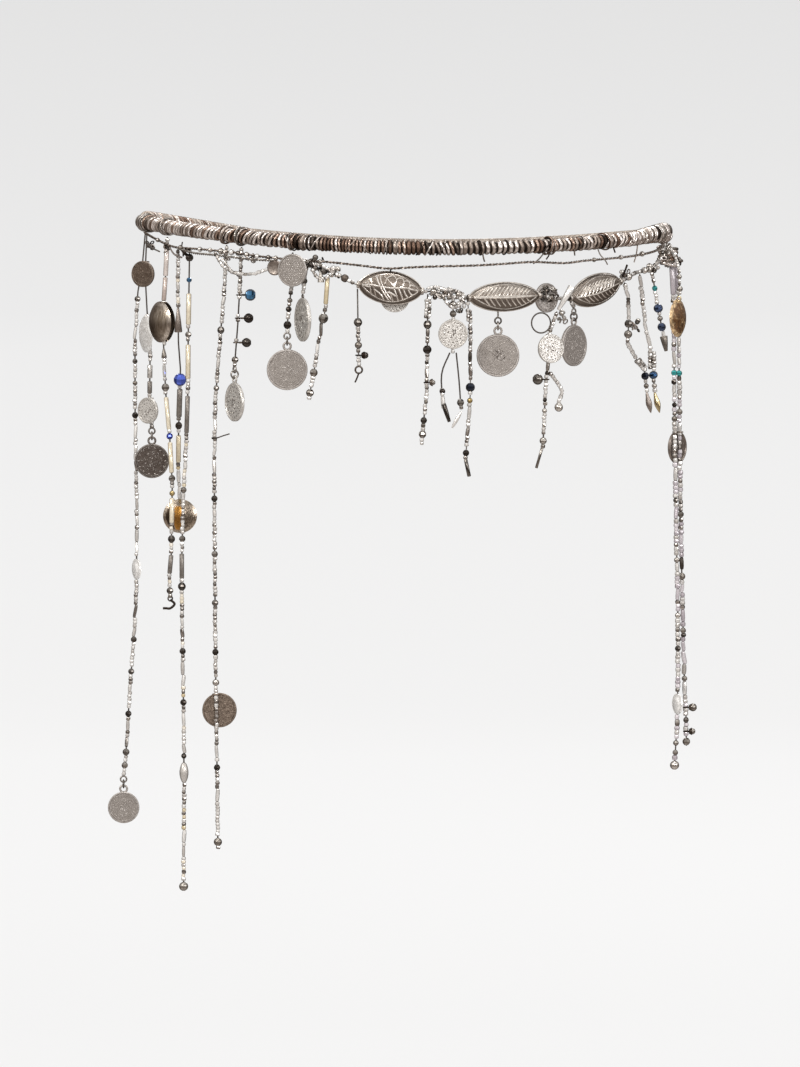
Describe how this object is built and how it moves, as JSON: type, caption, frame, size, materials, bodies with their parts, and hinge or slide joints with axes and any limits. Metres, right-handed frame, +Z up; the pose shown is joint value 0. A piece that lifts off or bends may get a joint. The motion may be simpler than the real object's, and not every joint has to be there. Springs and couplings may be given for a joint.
{
  "type": "coin headdress",
  "caption": "Wire-wound hoop worn round the head, with a swag, a garland of leaf beads and hanging strings of beads, coins and domed discs.",
  "frame": {"origin": "middle of the head opening, at the mean height of the hoop", "axes": "+X to the right as seen from the front, +Y backwards, +Z up"},
  "size_m": [0.1952, 0.2081, 0.2193],
  "materials": {
    "wound_wire": "tarnished silver alloy wire wound over a wire core",
    "tie_wire": "dark iron wire",
    "swag_wire": "thin twisted wire",
    "silver_seed_beads": "small silver metal seed beads",
    "brass_seed_beads": "small brass seed and tube beads",
    "strung_beads": "tarnished metal beads with some cut glass",
    "leaf_silver": "oxidised silver, chased",
    "coin_silver": "worn struck silver",
    "coin_dark": "dark struck silver",
    "coin_brown": "brown struck bronze",
    "disc_silver": "bright hammered silver",
    "disc_bronze": "tarnished domed bronze",
    "disc_brass": "aged domed brass"
  },
  "bodies": {
    "root": {"hoop": "wound_wire", "tie_rings": "tie_wire", "swag_string": "swag_wire", "garland_string": "silver_seed_beads", "garland_beads": "strung_beads", "leaf_bead_left": "leaf_silver", "leaf_bead_middle": "leaf_silver", "leaf_bead_right": "leaf_silver", "left_string_1": "silver_seed_beads", "left_string_2": "silver_seed_beads", "left_string_3": "brass_seed_beads", "left_string_4": "silver_seed_beads", "left_string_5": "silver_seed_beads", "left_string_6": "silver_seed_beads", "left_string_7": "silver_seed_beads", "left_loop_string": "silver_seed_beads", "left_beads_1": "strung_beads", "left_beads_2": "strung_beads", "left_beads_3": "strung_beads", "left_beads_4": "strung_beads", "left_beads_5": "strung_beads", "left_beads_6": "strung_beads", "left_beads_7": "strung_beads", "front_string_1": "silver_seed_beads", "front_string_2": "silver_seed_beads", "front_string_3": "silver_seed_beads", "front_string_4": "silver_seed_beads", "front_string_5": "silver_seed_beads", "front_string_6": "silver_seed_beads", "front_beads_1": "strung_beads", "front_beads_2": "strung_beads", "front_beads_3": "strung_beads", "front_beads_4": "strung_beads", "front_beads_5": "strung_beads", "front_beads_6": "strung_beads", "right_short_strings": "silver_seed_beads", "right_short_beads": "strung_beads", "right_long_strings": "silver_seed_beads", "right_long_beads": "strung_beads", "coin_left_top": "coin_brown", "coin_left_small": "coin_silver", "coin_left_long": "coin_brown", "coin_textured": "coin_silver", "coin_front_turned": "coin_silver", "coin_behind_left": "coin_silver", "coin_front_small": "coin_silver", "coin_front_bright": "coin_silver", "coin_behind_right": "coin_silver", "coin_right_brown": "coin_brown", "disc_left_bright": "disc_silver", "discs_left_domed": "disc_bronze", "disc_left_brass": "disc_brass", "disc_right_brass": "disc_brass"},
    "coin_left_dark": {"coin_left_dark": "coin_dark"},
    "coin_left_end": {"coin_left_end": "coin_silver"},
    "coin_left_turned": {"coin_left_turned": "coin_silver"},
    "coin_front_left": {"coin_front_left": "coin_silver"},
    "coin_front_middle": {"coin_front_middle": "coin_silver"},
    "coin_front_right": {"coin_front_right": "coin_silver"}
  },
  "joints": [
    {"name": "coin_left_dark_swing", "type": "hinge", "parent": "root", "child": "coin_left_dark", "pos_m": [-0.0827, -0.027, -0.06455], "axis": [1, 0, 0], "range_deg": [-60, 30]},
    {"name": "coin_left_end_swing", "type": "hinge", "parent": "root", "child": "coin_left_end", "pos_m": [-0.0926, -0.02, -0.18], "axis": [1, 0, 0], "range_deg": [-60, 60]},
    {"name": "coin_left_turned_swing", "type": "hinge", "parent": "root", "child": "coin_left_turned", "pos_m": [-0.054, -0.081, -0.043], "axis": [0.4695, -0.8829, 0], "range_deg": [-60, 45]},
    {"name": "coin_front_left_swing", "type": "hinge", "parent": "root", "child": "coin_front_left", "pos_m": [-0.037, -0.0919, -0.0321], "axis": [1, 0, 0], "range_deg": [-60, 45]},
    {"name": "coin_front_middle_swing", "type": "hinge", "parent": "root", "child": "coin_front_middle", "pos_m": [0.0299, -0.0946, -0.0272], "axis": [1, 0, 0], "range_deg": [-60, 45]},
    {"name": "coin_front_right_swing", "type": "hinge", "parent": "root", "child": "coin_front_right", "pos_m": [0.0544, -0.0786, -0.0246], "axis": [0.6157, 0.788, 0], "range_deg": [-60, 45]}
  ]
}
